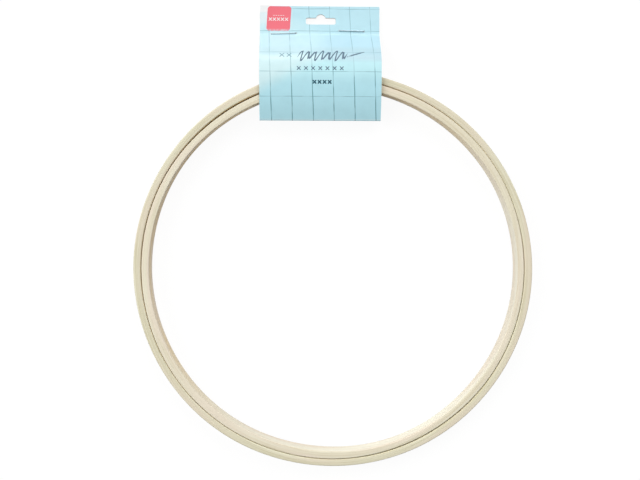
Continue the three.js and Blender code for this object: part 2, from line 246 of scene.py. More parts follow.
# Mesh helpers
def looseObject(name, bm, materials=()):
    mesh = bpy.data.meshes.new(name)
    bm.to_mesh(mesh)
    bm.free()
    for material in materials:
        mesh.materials.append(material)
    piece = bpy.data.objects.new(name, mesh)
    scene.collection.objects.link(piece)
    return piece


def discard(piece):
    mesh = piece.data
    bpy.data.objects.remove(piece)
    bpy.data.meshes.remove(mesh)


# A finished piece: smooth between its sharp edges, and riding on its body
def finish(name, bm, materials, body, slotName, *nodes, sharpAngle=35):
    for face in bm.faces:
        face.smooth = True
    for edge in bm.edges:
        edge.smooth = len(edge.link_faces) == 2 and edge.calc_face_angle(0) < math.radians(sharpAngle)
    piece = looseObject(name, bm, materials)
    if body:
        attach(piece, body)
    if nodes:
        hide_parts(*nodes)
    return piece


# The mesh of a piece with its modifiers applied
def applied(piece):
    shown = bpy.context.evaluated_depsgraph_get()
    bpy.context.view_layer.update()
    bm = bmesh.new()
    bm.from_object(piece, shown)
    discard(piece)
    return bm


# Cuts each cutter out of a mesh. The cut faces get the material of the cutter's own slot.
def cutAway(bm, cutters, materials, cutSlot):
    body = looseObject("cutBody", bm, materials)
    tools = []
    for cutter in cutters:
        for face in cutter.faces:
            face.material_index = cutSlot
        tool = looseObject("cutTool", cutter, materials)
        modifier = body.modifiers.new("cut", "BOOLEAN")
        modifier.object = tool
        modifier.operation = "DIFFERENCE"
        modifier.solver = "EXACT"
        modifier.material_mode = "INDEX"
        tools.append(tool)
    result = applied(body)
    for tool in tools:
        discard(tool)
    return result


def outwards(bm):
    bmesh.ops.remove_doubles(bm, verts=bm.verts, dist=1e-7)
    bmesh.ops.recalc_face_normals(bm, faces=bm.faces)
    return bm


def bevelled(bm, geom, offset, affect, segments):
    bmesh.ops.bevel(
        bm, geom=geom, offset=offset, offset_type="OFFSET", affect=affect,
        segments=segments, profile=0.5, material=-1,
    )


def moved(bm, verts, *way):
    bmesh.ops.translate(bm, verts=verts, vec=way)


def flatGrid(width, length, acrossSteps=1, alongSteps=1):
    bm = bmesh.new()
    bmesh.ops.create_grid(bm, x_segments=acrossSteps, y_segments=alongSteps, size=0.5)
    bmesh.ops.scale(bm, verts=bm.verts, vec=(width, length, 1))
    return bm


def cuboid(width, length, height):
    bm = bmesh.new()
    bmesh.ops.create_cube(bm, size=1)
    bmesh.ops.scale(bm, verts=bm.verts, vec=(width, length, height))
    return bm


def cylinder(bm, radius, depth, steps):
    return bmesh.ops.create_cone(
        bm, segments=steps, radius1=radius, radius2=radius, depth=depth, cap_ends=True,
    )["verts"]


def openEdges(bm):
    return [e for e in bm.edges if e.is_boundary]


# Wood strips of the two rings
outerWood = {
    "colour": paint(233, 228, 202),
    "late": paint(213, 205, 172),
    "warm": paint(233, 221, 198),
    "pore": paint(163, 146, 112),
    # painted shade and painted highlight on the walls: a warmer, darker tone on the shaded side and a paler
    # one on the lit side
    "heart": paint(234, 210, 166),
    "paintedLit": paint(241, 235, 212),
}
innerWood = {
    "colour": paint(241, 235, 212),
    "late": paint(225, 214, 185),
    "warm": paint(241, 228, 208),
    "pore": paint(176, 154, 122),
    # painted shade and painted highlight on the walls: a warmer, darker tone on the shaded side and a paler
    # one on the lit side
    "heart": paint(240, 206, 143),
    "paintedLit": paint(252, 247, 229),
}
woodGrain = {
    "streaks": (28 * mm, 0.42 * mm, 3.0, 4.0),  # length, width, detail and shift of each layer of grain
    "bands": (70 * mm, 1.344 * mm, 1.0, 9.0),
    "pores": (2.2 * mm, 0.12 * mm, 1.0, 2.0),
    "patches": (46 * mm, 3.5 * mm, 2.0, 6.0),
    "climb": 0.7,  # how fast the grain changes up the walls, as a share of how fast it does across
    "streakInk": (0.42, 0.72),
    "bandInk": (0.45, 0.75, 0.0, 0.55),
    "patchInk": (0.42, 0.66, 0.0, 0.8),
    "poreInk": (0.69, 0.78),
    "poreShade": 0.5,
    "wall": (0.1 * mm, 0.7 * mm),  # how far below the rings' top the walls' painted shade and painted highlight set in
    "heartFrom": 130,  # degrees from +X to the side whose walls get painted shade, warmer and darker; the opposite walls get a paler painted highlight
    "paintedShadeInk": (-0.5, 0.8),
    "paintedLitGrainLoss": 0.65,  # the share of its grain that a wall with painted highlight loses
    "roughnessSpan": (0.3, 0.7, 0.5, 0.68),
    "streakRise": 0.6,
    "relief": 0.02 * mm,
}


# The grain follows the bent strip, so the noise is read along the ring, across it and up it.
def woodMaterial(name, look, radius):
    material, tree, shader = newMaterial(name, specular=0.35)
    x, y, z = split(tree, objectPlace(tree, (*ringCentre, 0)))
    flat = join(tree, x, y, 0.0)
    around = vectorCalc(tree, "NORMALIZE", flat)
    across = vectorCalc(tree, "LENGTH", flat)

    def grain(length, width, detail, shift):
        along = vectorCalc(tree, "MULTIPLY", around, (radius / length, radius / length, 0))
        layer = join(tree, 0.0, 0.0, calc(tree, "MULTIPLY_ADD", across, 1 / width, shift))
        w = calc(tree, "MULTIPLY_ADD", z, woodGrain["climb"] / width, shift)
        return noise(tree, vectorCalc(tree, "ADD", along, layer), detail=detail, w=w)

    layers = ("streaks", "bands", "pores", "patches")
    streaks, bands, pores, patches = (grain(*woodGrain[layer]) for layer in layers)
    poreMask = span(tree, pores, *woodGrain["poreInk"])
    # The walls are tinted by their place around the ring: painted shade on the side away from the light,
    # painted highlight with less grain on the lit side.
    darkest = math.radians(woodGrain["heartFrom"])
    shadeFacing = split(tree, vectorCalc(tree, "MULTIPLY", around, (math.cos(darkest), math.sin(darkest), 0)))
    heart = span(tree, calc(tree, "ADD", shadeFacing[0], shadeFacing[1]), *woodGrain["paintedShadeInk"])
    wall = span(tree, z, *(ringTop - depth for depth in woodGrain["wall"]))
    colour = mixColour(tree, wall, look["colour"], mixColour(tree, heart, look["paintedLit"], look["heart"]))
    paintedLitWall = both(tree, wall, calc(tree, "SUBTRACT", 1.0, heart))
    shown = calc(tree, "MULTIPLY_ADD", paintedLitWall, -woodGrain["paintedLitGrainLoss"], 1.0)
    for layer, ink in ((streaks, "streakInk"), (bands, "bandInk")):
        lines = both(tree, span(tree, layer, *woodGrain[ink]), shown)
        colour = mixColour(tree, lines, colour, look["late"])
    colour = mixColour(tree, span(tree, patches, *woodGrain["patchInk"]), colour, look["warm"])
    colour = mixColour(tree, both(tree, poreMask, woodGrain["poreShade"]), colour, look["pore"])
    tree.links.new(colour, shader.inputs["Base Color"])
    tree.links.new(span(tree, streaks, *woodGrain["roughnessSpan"]), shader.inputs["Roughness"])
    height = calc(tree, "SUBTRACT", both(tree, streaks, woodGrain["streakRise"]), poreMask)
    bump(tree, shader, height, woodGrain["relief"])
    return material


strip = {
    "outerRound": 0.55 * mm,
    "innerRound": 0.35 * mm,
    "roundSteps": 5,
    "endRound": 0.2 * mm,
    "endSteps": 2,
    "steps": 360,
    "splitWidth": 8 * mm,
    "calm": (12, 19),  # degrees from the closure where the waves begin and are full
}
# Bent wood is never quite round or even: waves per turn, size in mm, phase
waves = {
    "outerFace": (
        (0, -0.09, 0), (1, 0.09, 0), (2, 0.15, 1.65), (3, 0.1, -0.4), (4, 0.04, -1.82), (6, 0.08, 0.55),
    ),
    "gapPlace": (
        (0, -0.15, 0), (1, 0.1, 0.96), (2, 0.04, 2.21), (3, 0.1, -1.75), (4, 0.05, 2.53), (6, 0.06, 2.65),
    ),
    "gapChange": (
        (0, 0.05, 0), (1, 0.04, 1.25), (2, 0.22, -1.2), (3, 0.03, -1.71), (4, 0.05, 1.61), (6, 0.06, -2.99),
    ),
    "innerFace": ((1, 0.29, 0.04), (2, 0.21, 1.77), (3, 0.14, -1.43), (5, 0.13, -0.52), (7, 0.08, 2.17)),
    "innerLean": ((0, -0.17, 0), (1, 0.25, 1.57), (2, 0.15, 0), (3, 0.06, -1.9), (4, 0.04, 1.45)),
}


def wave(name, angle):
    return sum(size * mm * math.cos(count * angle + phase) for count, size, phase in waves[name])


# Springs a round ring a little out of round. Its outer and its inner face each have their own waves, and
# the inner face may lean towards the middle at the top.
def springRing(bm, ring, outerChange, innerChange, lean=None):
    calmFrom, calmTo = (math.radians(degrees) for degrees in strip["calm"])
    for vert in bm.verts:
        flat = vert.co.xy - ringCentre
        angle = math.atan2(flat.y, flat.x)
        share = (flat.length - ring["inner"]) / (ring["outer"] - ring["inner"])
        fromClosure = abs(angle - math.pi / 2)
        ease = min(1, max(0, (fromClosure - calmFrom) / (calmTo - calmFrom)))
        ease *= ease * (3 - 2 * ease)
        change = ring["outOfRound"] * math.cos(2 * angle)
        change += ease * (share * outerChange(angle) + (1 - share) * innerChange(angle))
        if lean:
            rise = (vert.co.z - ring["bottom"]) / (ring["top"] - ring["bottom"])
            change += (1 - share) * rise * lean(angle)
        vert.co.x, vert.co.y = ringCentre + flat * (1 + change / flat.length)


# A bar with rounded long edges, spun about the hoop's axis
def spunStrip(ring, edgeRound, fromAngle, sweep, closed):
    width, height = ring["outer"] - ring["inner"], ring["top"] - ring["bottom"]
    bm = flatGrid(width, height)
    bevelled(bm, bm.verts, edgeRound, "VERTICES", strip["roundSteps"])
    bmesh.ops.delete(bm, geom=bm.faces, context="FACES_ONLY")
    bmesh.ops.rotate(bm, verts=bm.verts, cent=(0, 0, 0), matrix=Matrix.Rotation(math.pi / 2, 3, "X"))
    moved(bm, bm.verts, ring["outer"] - width / 2, 0, (ring["top"] + ring["bottom"]) / 2)
    bmesh.ops.rotate(bm, verts=bm.verts, cent=(0, 0, 0), matrix=Matrix.Rotation(fromAngle, 3, "Z"))
    bmesh.ops.spin(
        bm, geom=bm.verts[:] + bm.edges[:], cent=(0, 0, 0), axis=(0, 0, 1),
        angle=sweep, steps=strip["steps"], use_merge=closed,
    )
    if not closed:
        bmesh.ops.holes_fill(bm, edges=openEdges(bm))
    moved(bm, bm.verts, *ringCentre, 0)
    return outwards(bm)


def makeStrips():
    halfSplit = strip["splitWidth"] / 2 / outerRing["outer"]
    bm = spunStrip(
        outerRing, strip["outerRound"], math.pi / 2 + halfSplit, 2 * math.pi - 2 * halfSplit, False,
    )
    ends = [e for e in bm.edges if len(e.link_faces) == 2 and any(len(f.verts) > 4 for f in e.link_faces)]
    bevelled(bm, ends, strip["endRound"], "EDGES", strip["endSteps"])
    springRing(
        bm, outerRing, lambda angle: wave("outerFace", angle),
        lambda angle: wave("gapPlace", angle) - wave("gapChange", angle) / 2,
    )
    wood = woodMaterial("bentWoodOuter", outerWood, outerRing["outer"])
    finish("outerStrip", bm, [wood], "hoop", "outer_wood", "outer_ring")
    bm = spunStrip(innerRing, strip["innerRound"], 0, 2 * math.pi, True)
    springRing(
        bm, innerRing, lambda angle: wave("gapPlace", angle) + wave("gapChange", angle) / 2,
        lambda angle: wave("innerFace", angle), lambda angle: wave("innerLean", angle),
    )
    wood = woodMaterial("bentWoodInner", innerWood, innerRing["outer"])
    finish("innerStrip", bm, [wood], "inner_hoop", "inner_wood", "inner_ring")


makeStrips()
print("wood strips bent")

# Brass closure
brass = {
    "colour": paint(220, 188, 124),
    "tarnish": paint(176, 142, 86),
    "tarnishInk": (0.45, 0.75, 0.0, 0.7),
    "patch": 2.2 * mm,
    "turnedMark": 0.05 * mm,
    "stampedMark": 0.1 * mm,
    "stampedStretch": 0.12,
    "markShare": 0.4,  # of the roughness. The patches make up the rest.
    "roughnessSpan": (0.35, 0.65, 0.2, 0.42),
    "relief": 0.004 * mm,
    "earEdge": 0.14 * mm,
    "nutEdge": 0.16 * mm,
    "washerEdge": 0.12 * mm,
}
screwLow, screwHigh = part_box("thumb_screw")
screwAxis = (screwLow + screwHigh) / 2


# Turned brass has fine rings about the screw's axis, and stamped brass has short scratches.
def brassMaterial(name, turnedAbout=None):
    material, tree, shader = newMaterial(name, metallic=1.0)
    place = objectPlace(tree, turnedAbout or (0, 0, 0))
    if turnedAbout:
        x, y, z = split(tree, place)
        fromAxis = vectorCalc(tree, "LENGTH", join(tree, 0.0, y, z))
        marks = noise(tree, join(tree, x, fromAxis, 0.0), scale=1 / brass["turnedMark"], detail=2.0)
    else:
        stretched = vectorCalc(tree, "MULTIPLY", place, (1.0, brass["stampedStretch"], 1.0))
        marks = noise(tree, stretched, scale=1 / brass["stampedMark"], detail=3.0)
    patches = noise(tree, place, scale=1 / brass["patch"], detail=4.0, roughness=0.6)
    colour = mixColour(tree, span(tree, patches, *brass["tarnishInk"]), brass["colour"], brass["tarnish"])
    tree.links.new(colour, shader.inputs["Base Color"])
    share = brass["markShare"]
    rough = calc(tree, "MULTIPLY_ADD", marks, share, both(tree, patches, 1 - share))
    tree.links.new(span(tree, rough, *brass["roughnessSpan"]), shader.inputs["Roughness"])
    bump(tree, shader, marks, brass["relief"])
    return material


stamped = brassMaterial("stampedBrass")
turnedBrass = brassMaterial("turnedBrass", turnedAbout=tuple(screwAxis))


# A node's own shape with its sharp edges broken
def finishedCopy(name, node, edge, material, body, slotName, place=Matrix.Identity(4)):
    flatAngle, sharpAngle = math.radians(1), math.radians(40)
    bm = bmesh.new()
    bm.from_mesh(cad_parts[node].data)
    bmesh.ops.remove_doubles(bm, verts=bm.verts, dist=1e-6)
    bmesh.ops.dissolve_limit(bm, angle_limit=flatAngle, verts=bm.verts, edges=bm.edges)
    sharp = [e for e in bm.edges if e.is_manifold and e.calc_face_angle(0) > sharpAngle]
    bevelled(bm, sharp, edge, "EDGES", 2)
    bmesh.ops.transform(bm, verts=bm.verts, matrix=place)
    finish(name, bm, [material], body, slotName, node)


for end in ("left", "right"):
    finishedCopy(f"brassEar.{end}", f"ear_{end}", brass["earEdge"], stamped, "hoop", "brass")
finishedCopy("squareNut", "square_nut", brass["nutEdge"], stamped, "hoop", "brass")
finishedCopy("screwWasher", "washer", brass["washerEdge"], turnedBrass, "screw_washer", "brass")

tack = {"radius": 1.7 * mm, "rise": 0.75 * mm, "rim": 0.12 * mm, "domeSteps": 8, "steps": 48}


# A round-headed tack, driven in towards the hoop's middle
def makeTack(node):
    low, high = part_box(node)
    direction = (((low + high) / 2).xy - ringCentre).normalized()
    tip = max((v.co.xy - ringCentre).dot(direction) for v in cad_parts[node].data.vertices)
    bm = bmesh.new()
    dome = [bm.verts.new((0, 0, tack["rise"] + tack["rim"]))]
    for step in range(1, tack["domeSteps"] + 1):
        angle = math.radians(90 - step * 90 / tack["domeSteps"])
        height = tack["rise"] * math.sin(angle) + tack["rim"] * (step < tack["domeSteps"])
        dome.append(bm.verts.new((tack["radius"] * math.cos(angle), 0, height)))
    dome.append(bm.verts.new((0, 0, 0)))
    edges = [bm.edges.new(pair) for pair in zip(dome, dome[1:])]
    bmesh.ops.spin(
        bm, geom=dome + edges, cent=(0, 0, 0), axis=(0, 0, 1),
        angle=2 * math.pi, steps=tack["steps"], use_merge=True,
    )
    outwards(bm)
    turn = direction.to_3d().to_track_quat("Z", "Y").to_matrix().to_4x4()
    seat = ringCentre + direction * (tip - tack["rise"] - tack["rim"])
    bmesh.ops.transform(bm, verts=bm.verts, matrix=Matrix.Translation((*seat, screwAxis.z)) @ turn)
    finish(node.replace("tack_", "tackHead."), bm, [stamped], "hoop", "brass", node)


for end in ("left", "right"):
    for number in (1, 2):
        makeTack(f"tack_{end}_{number}")

screw = {
    "headLength": 8 * mm,
    "collarRadius": 3.3 * mm,
    "collar": 0.9 * mm,
    "knurls": 40,
    "knurlDepth": 0.3 * mm,
    "knurlSharpness": 1.4,
    "chamfer": 0.55 * mm,
    "knee": (0.6, 0.12 * mm, 0.4),  # the chamfer's bend: share of its height, inset, share of the knurl
    "slotWidth": 1.2 * mm,
    "slotDepth": 1.6 * mm,
    "shankRadius": 1.9 * mm,
    "pitch": 0.7 * mm,
    "threadDepth": 0.36 * mm,
    "threadForm": (0.12, 0.45, 0.6, 0.93),  # foot, crest and foot, as shares of the pitch
    "plainNeck": 2.0 * mm,
    "overlap": 0.05 * mm,  # of the neck with the head and with the thread
    "steps": 160,
    "neckSteps": 48,
    "threadSteps": 40,  # for each turn
    "sharpAngle": 28,
}


# The knurled head stands on Z, with its underside at zero.
def screwHead():
    radius = (screwHigh.y - screwLow.y) / 2
    collar, collarRadius = screw["collar"], screw["collarRadius"]
    chamfer, top = screw["chamfer"], screw["headLength"]
    knee, inset, kneeKnurl = screw["knee"]
    levels = [  # height, radius, share of the knurls' depth
        (0, collarRadius, 0),
        (collar, collarRadius, 0),
        (collar, radius - chamfer, 0),
        (collar + chamfer * knee, radius - inset, kneeKnurl),
        (collar + chamfer, radius, 1),
        (top - chamfer, radius, 1),
        (top - chamfer * knee, radius - inset, kneeKnurl),
        (top, radius - chamfer, 0),
    ]
    bm = bmesh.new()
    ring = bmesh.ops.create_circle(bm, segments=screw["steps"], radius=1)["verts"]
    edges = bm.edges[:]
    for number, (height, size, knurl) in enumerate(levels):
        if number:
            made = bmesh.ops.extrude_edge_only(bm, edges=edges)["geom"]
            ring = [g for g in made if isinstance(g, bmesh.types.BMVert)]
            edges = [g for g in made if isinstance(g, bmesh.types.BMEdge) and set(g.verts) <= set(ring)]
        for vert in ring:
            angle = math.atan2(vert.co.y, vert.co.x)
            ripple = abs(math.sin(screw["knurls"] * angle / 2)) ** screw["knurlSharpness"]
            reach = size - knurl * screw["knurlDepth"] * ripple
            vert.co = (reach * math.cos(angle), reach * math.sin(angle), height)
    bmesh.ops.holes_fill(bm, edges=openEdges(bm))
    outwards(bm)
    slotCut = cuboid(screw["slotWidth"], 4 * radius, 2 * screw["slotDepth"])
    moved(slotCut, slotCut.verts, 0, 0, top)
    return cutAway(bm, [slotCut], [turnedBrass], 0)


# One turn of the thread's V is spun down the shank, so that each turn meets the next.
def screwThread(length):
    bm = bmesh.new()
    crest, root = screw["shankRadius"], screw["shankRadius"] - screw["threadDepth"]
    pitch = screw["pitch"]
    up, crestFrom, crestTo, down = screw["threadForm"]
    outline = [(root, 0), (root, up), (crest, crestFrom), (crest, crestTo), (root, down), (root, 1)]
    points = [bm.verts.new((r, 0, share * pitch)) for r, share in outline]
    edges = [bm.edges.new(pair) for pair in zip(points, points[1:])]
    turns = math.ceil(length / pitch) + 2
    bmesh.ops.spin(
        bm, geom=points + edges, cent=(0, 0, 0), axis=(0, 0, 1), dvec=(0, 0, pitch / screw["threadSteps"]),
        angle=2 * math.pi * turns, steps=screw["threadSteps"] * turns,
    )
    moved(bm, bm.verts, 0, 0, -length - 1.5 * pitch)
    bmesh.ops.remove_doubles(bm, verts=bm.verts, dist=1e-6)
    for height, normal in ((-length, (0, 0, -1)), (0, (0, 0, 1))):
        everything = bm.verts[:] + bm.edges[:] + bm.faces[:]
        bmesh.ops.bisect_plane(
            bm, geom=everything, plane_co=(0, 0, height), plane_no=normal, clear_outer=True,
        )
    bmesh.ops.remove_doubles(bm, verts=bm.verts, dist=0.01 * mm)  # slivers beside the cuts
    bmesh.ops.holes_fill(bm, edges=openEdges(bm))
    bmesh.ops.recalc_face_normals(bm, faces=bm.faces)
    return bm


def makeScrew():
    length = screwHigh.x - screwLow.x - screw["headLength"]
    neck, overlap = screw["plainNeck"], screw["overlap"]
    bm = screwHead()
    thread = screwThread(length - neck)
    moved(thread, thread.verts, 0, 0, -neck + overlap)
    neckVerts = cylinder(bm, screw["shankRadius"], neck + 2 * overlap, screw["neckSteps"])
    moved(bm, neckVerts, 0, 0, -neck / 2 + overlap)
    threadPiece = looseObject("threadPiece", thread)
    bm.from_mesh(threadPiece.data)
    discard(threadPiece)
    underHead = Vector((screwLow.x + screw["headLength"], screwAxis.y, screwAxis.z))
    place = Matrix.Translation(underHead) @ Matrix.Rotation(-math.pi / 2, 4, "Y")
    bmesh.ops.transform(bm, verts=bm.verts, matrix=place)
    finish("thumbScrew", bm, [turnedBrass], "screw", "brass", "thumb_screw", sharpAngle=screw["sharpAngle"])


makeScrew()
print("brass closure made")

# Card: its printed side is outside, and its board is plain inside and white at its cut edges.
# Lengths on the print are in mm, u from its left edge and v along the sheet from its fold.
uvPerMetre = 10  # of the sheet laid flat


def sheetPlace(tree):
    source = tree.nodes.new("ShaderNodeUVMap")
    source.uv_map = "sheet"
    toMm = 1 / mm / uvPerMetre
    scaled = vectorCalc(tree, "MULTIPLY", source.outputs["UV"], (toMm, toMm, 0))
    return scaled, split(tree, scaled)


# A place in a row of stitches: how far from the nearest one's middle, and whether in the row's length
def inRow(tree, u, first, pitch, count):
    across = calc(tree, "PINGPONG", calc(tree, "SUBTRACT", u, first), pitch / 2)
    return across, near(tree, u, first + pitch * (count - 1) / 2, pitch * count / 2)


# A row of small cross stitches
def crossRow(tree, u, v, first, pitch, count, height, size, width):
    across, length = inRow(tree, u, first, pitch, count)
    up = calc(tree, "ABSOLUTE", calc(tree, "SUBTRACT", v, height))
    slanted = width * 0.7  # half a thread's width, measured along the row
    diagonal = near(tree, calc(tree, "SUBTRACT", across, up), 0.0, slanted)
    inside = under(tree, calc(tree, "MAXIMUM", across, up), size / 2, soft=0.04)
    return both(tree, diagonal, inside, length)


# A row of running stitches
def dashRow(tree, u, v, first, pitch, count, height, dash, width):
    across, length = inRow(tree, u, first, pitch, count)
    return both(tree, under(tree, across, dash / 2), length, near(tree, v, height, width / 2))


sewing = {
    "from": 19.4,
    "to": 43.4,
    "height": 32.2,
    "swing": 2.15,
    "loop": 3.43,
    "slant": 0.42,
    "swell": (0.41, 0.35),  # its pace against the loops' own, and its share of the swing
    "halfWidth": 0.42,
    "needleHalf": 4.5,
    "needleRise": (0.7, 1.7),  # of its middle, and from there to its tip
    "needleBody": (0.46, -0.3),  # half its width, and the change towards both ends
    "eye": (1.3, 0.7, 0.18, 0.1),  # its middle, half its length, and the soft edge of its width
}


# A thread laid in even waves, with a needle at its end
def threadAndNeedle(tree, u, v):
    start, end, middle, swing, loop = (sewing[key] for key in ("from", "to", "height", "swing", "loop"))
    leaned = calc(tree, "MULTIPLY_ADD", calc(tree, "SUBTRACT", v, middle), -sewing["slant"], u)
    turn = calc(tree, "MULTIPLY", calc(tree, "SUBTRACT", leaned, start), 2 * math.pi / loop)
    pace, swell = sewing["swell"]
    height = calc(tree, "MULTIPLY_ADD", calc(tree, "SINE", calc(tree, "MULTIPLY", turn, pace)), swell, 1.0)
    height = calc(tree, "MULTIPLY", height, swing)
    curve = calc(tree, "MULTIPLY_ADD", calc(tree, "SINE", turn), height, middle)
    slope = calc(tree, "MULTIPLY", calc(tree, "COSINE", turn), swing * 2 * math.pi / loop)
    steep = calc(tree, "SQRT", calc(tree, "MULTIPLY_ADD", slope, slope, 1.0))
    away = calc(tree, "DIVIDE", calc(tree, "SUBTRACT", v, curve), steep)
    length = near(tree, leaned, (start + end) / 2, (end - start) / 2)
    line = both(tree, near(tree, away, 0.0, sewing["halfWidth"]), length)
    needleHalf = sewing["needleHalf"]
    share = calc(tree, "DIVIDE", calc(tree, "SUBTRACT", u, end + needleHalf), needleHalf)
    rise, tip = sewing["needleRise"]
    axis = calc(tree, "MULTIPLY_ADD", share, tip, middle + rise)
    half, taper = sewing["needleBody"]
    thickness = calc(tree, "MULTIPLY_ADD", calc(tree, "MULTIPLY", share, share), taper, half)
    needleAway = calc(tree, "ABSOLUTE", calc(tree, "SUBTRACT", v, axis))
    body = under(tree, calc(tree, "SUBTRACT", needleAway, thickness), 0.0)
    body = both(tree, body, near(tree, u, end + needleHalf, needleHalf))
    eyeMiddle, eyeHalf, *eyeWidth = sewing["eye"]
    eye = both(tree, near(tree, u, end + eyeMiddle, eyeHalf), span(tree, needleAway, *eyeWidth))
    return either(tree, line, calc(tree, "SUBTRACT", body, eye, clamp=True))


grid = {
    "colour": paint(110, 163, 174),
    "lineWidth": (0.44, 0.34),  # near the fold, and further on
    "widthSpan": (12.0, 24.0),  # where one width turns into the other
    "columns": (6.0, 10.49, 1.81, 0.16),  # first line, pitch, and how much less both are at the top
    "columnInk": (8.0, 38.0, 1.35, 0.6),  # from, to, and the ink there
    "rows": (11.6, 23.8, 34.3, 50.0, 61.2),
    "rowShare": 0.42,  # half a row's width, as a share of the thin line
    "rowInk": 0.7,
    "sheetLength": 62.4,
    "wobble": 0.5,
    "worn": (0.35, 0.6, 0.4, 1.0),
}


def gridLines(tree, place, u, v):
    first, pitch, lean, squeeze = grid["columns"]
    wobble = calc(tree, "MULTIPLY_ADD", noise(tree, place, scale=0.09), grid["wobble"], -grid["wobble"] / 2)
    shifted = calc(tree, "ADD", calc(tree, "MULTIPLY_ADD", v, lean / grid["sheetLength"], u), wobble)
    spacing = calc(tree, "MULTIPLY_ADD", v, -squeeze / grid["sheetLength"], pitch)
    column = calc(tree, "DIVIDE", calc(tree, "SUBTRACT", shifted, first), spacing)
    away = calc(tree, "MULTIPLY", calc(tree, "PINGPONG", column, 0.5), pitch)
    broad, thin = grid["lineWidth"]
    past = calc(tree, "SUBTRACT", away, span(tree, v, *grid["widthSpan"], broad / 2, thin / 2))
    columns = both(tree, under(tree, past, 0.0, soft=0.06), span(tree, v, *grid["columnInk"]))
    level = calc(tree, "ADD", v, wobble)
    rows = either(tree, *[near(tree, level, row, thin * grid["rowShare"]) for row in grid["rows"]])
    ink = span(tree, noise(tree, place, scale=0.12, detail=1.0), *grid["worn"])
    return both(tree, either(tree, columns, both(tree, rows, grid["rowInk"])), ink)


motifs = {
    "coral": paint(247, 119, 132),
    "slate": paint(80, 108, 128),
    "teal": paint(28, 84, 100),
    "pale": paint(128, 166, 178),
    "label": (9.6, 56.1, 12.0, 12.4, 1.5),  # middle, size and corner of the label
    "labelLean": 0.07,
    "scuffs": (0.42, 0.62, 0.2, 0.85),
    "scuffedFrom": (-4.9, -6.1),  # below the label's middle
    # rows of stitches: first middle, pitch, count, height, size, thread
    "labelCrosses": (-4.3, 2.05, 5, -0.3, 1.6, 0.36),
    "labelDashes": (-2.6, 1.2, 5, 1.6, 0.7, 0.25),
    "crosses": (
        ("slate", 19.6, 3.55, 7, 25.4, 1.9, 0.44),
        ("pale", 11.2, 3.6, 2, 32.3, 2.4, 0.46),
        ("teal", 27.4, 2.5, 4, 18.7, 1.9, 0.7),
    ),
}


# The label's mask, and the place on it measured from its middle
def labelMask(tree, u, v):
    middleU, middleV, width, height, corner = motifs["label"]
    labelV = calc(tree, "SUBTRACT", v, middleV)
    labelU = calc(tree, "MULTIPLY_ADD", labelV, -motifs["labelLean"], calc(tree, "SUBTRACT", u, middleU))
    past = vectorCalc(tree, "ABSOLUTE", join(tree, labelU, labelV, 0.0))
    past = vectorCalc(tree, "SUBTRACT", past, (width / 2 - corner, height / 2 - corner, 0))
    past = vectorCalc(tree, "MAXIMUM", past, (0, 0, 0))
    return under(tree, vectorCalc(tree, "LENGTH", past), corner, soft=0.06), labelU, labelV


boardPrint = {
    "ground": paint(190, 238, 249),
    # painted light and shade over the card's arch: the ridge lighter, the brow and slope darker, the flap
    # near the ground
    "ridgeHighlight": paint(203, 248, 255),
    "browShade": paint(185, 218, 229),
    "slope": paint(188, 225, 239),
    "flap": paint(197, 237, 248),
    "paintedLightZones": (  # painted light and shade over the arch: from where to where each one comes in
        ("ridgeHighlight", 16.0, 27.0),
        ("browShade", 27.6, 31.0),
        ("slope", 36.0, 40.0),
        ("flap", 46.5, 49.5),
    ),
    "glow": paint(225, 252, 255),  # painted sheen: the ground pales towards the upper left corner, where the varnish reflects the light
    "sheenRise": (1.9, -29.0, 31.0),  # its reach along the sheet: slope, start and limit
    "sheenFall": (-2.0, 129.0),
    "sheenSoft": 9.0,
    "sheenInk": (30.0, 34.0, 0.85, 0.34),
    "glare": paint(255, 255, 255),
    "glareInk": (  # by u and by v: from, to, and the ink there
        ((9.0, 3.0, 0.0, 0.55), (50.0, 57.0)),
        ((9.0, 5.0, 0.0, 0.92), (57.5, 60.0)),
    ),
    "mottle": paint(150, 196, 206),
    "mottleInk": (0.4, 0.75, 0.0, 0.12),
    "roughnessSpan": (0.3, 0.7, 0.36, 0.46),
    "fibre": 0.006 * mm,
    "white": paint(250, 247, 245),
    "crackInk": (1.1, 0.5, 0.0, 0.4),  # the print is cracked along the fold
    "crackFray": 1.2,
}


# The ground with its painted light and shade over the arch, its painted sheen, its grid and the painted
# glare at the upper left corner
def printedGround(tree, place, u, v, mottle):
    colour = boardPrint["ground"]
    # painted light and shade along the sheet, following the arch
    for zone, start, end in boardPrint["paintedLightZones"]:
        colour = mixColour(tree, span(tree, v, start, end), colour, boardPrint[zone])
    # Painted sheen of the varnish, paler towards the upper left
    slope, start, limit = boardPrint["sheenRise"]
    rising = calc(tree, "MINIMUM", calc(tree, "MULTIPLY_ADD", v, slope, start), limit)
    falling = calc(tree, "MULTIPLY_ADD", v, *boardPrint["sheenFall"])
    reach = calc(tree, "SUBTRACT", calc(tree, "MINIMUM", rising, falling), u)
    soft = boardPrint["sheenSoft"]
    glow = both(tree, span(tree, reach, -soft, soft), span(tree, v, *boardPrint["sheenInk"]))
    colour = mixColour(tree, glow, colour, boardPrint["glow"])
    colour = mixColour(tree, span(tree, mottle, *boardPrint["mottleInk"]), colour, boardPrint["mottle"])
    colour = mixColour(tree, gridLines(tree, place, u, v), colour, grid["colour"])
    glare = [both(tree, span(tree, u, *side), span(tree, v, *end)) for side, end in boardPrint["glareInk"]]
    return mixColour(tree, either(tree, *glare), colour, boardPrint["glare"])


